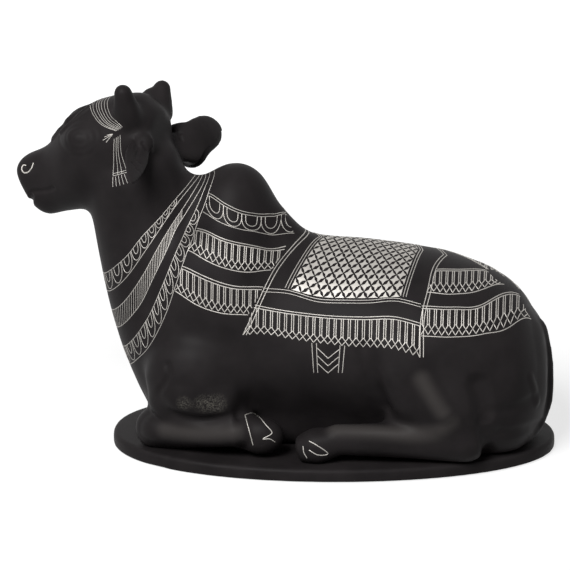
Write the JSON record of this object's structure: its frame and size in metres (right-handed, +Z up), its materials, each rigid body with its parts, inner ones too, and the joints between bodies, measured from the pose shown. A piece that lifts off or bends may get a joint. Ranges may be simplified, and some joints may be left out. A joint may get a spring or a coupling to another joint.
{
  "type": "metal bull figurine",
  "caption": "Couchant humped bull figurine in blackened cast metal on a low oval plinth, with silver inlay of garlands, a saddle cloth and fringes.",
  "frame": {"origin": "centre of the plinth's flat underside", "axes": "+Z up; +X towards the tail, so the bull faces -X and its left side faces -Y"},
  "size_m": [0.1818, 0.0802, 0.1255],
  "materials": {
    "casting": "satin black patina",
    "inlay": "polished silver"
  },
  "bodies": {
    "root": {"plinth": "casting", "body": "casting", "head": "casting", "horn_left": "casting", "horn_right": "casting", "ear_left": "casting", "ear_right": "casting", "foreleg_left": "casting", "foreleg_right": "casting", "hindleg_left": "casting", "hindleg_right": "casting", "tail": "casting", "garland_front": "inlay", "garland_middle": "inlay", "garland_rear": "inlay", "withers_band_left": "inlay", "withers_band_right": "inlay", "shoulder_fringe_upper_left": "inlay", "shoulder_fringe_upper_right": "inlay", "shoulder_fringe_lower_left": "inlay", "shoulder_fringe_lower_right": "inlay", "saddle_panel": "inlay", "saddle_front_border": "inlay", "saddle_rear_border": "inlay", "saddle_hem_left": "inlay", "saddle_hem_right": "inlay", "saddle_fringe_left": "inlay", "saddle_fringe_right": "inlay", "saddle_pendant_left": "inlay", "saddle_pendant_right": "inlay", "rump_fringe_upper_left": "inlay", "rump_fringe_upper_right": "inlay", "rump_fringe_lower_left": "inlay", "rump_fringe_lower_right": "inlay", "forehead_band": "inlay", "tassel_left": "inlay", "tassel_right": "inlay", "nostril_curl_left": "inlay", "nostril_curl_right": "inlay", "foreleg_hoof_curl_left": "inlay", "foreleg_hoof_curl_right": "inlay", "hindleg_hoof_curl_left": "inlay", "hindleg_hoof_curl_right": "inlay"}
  },
  "joints": []
}
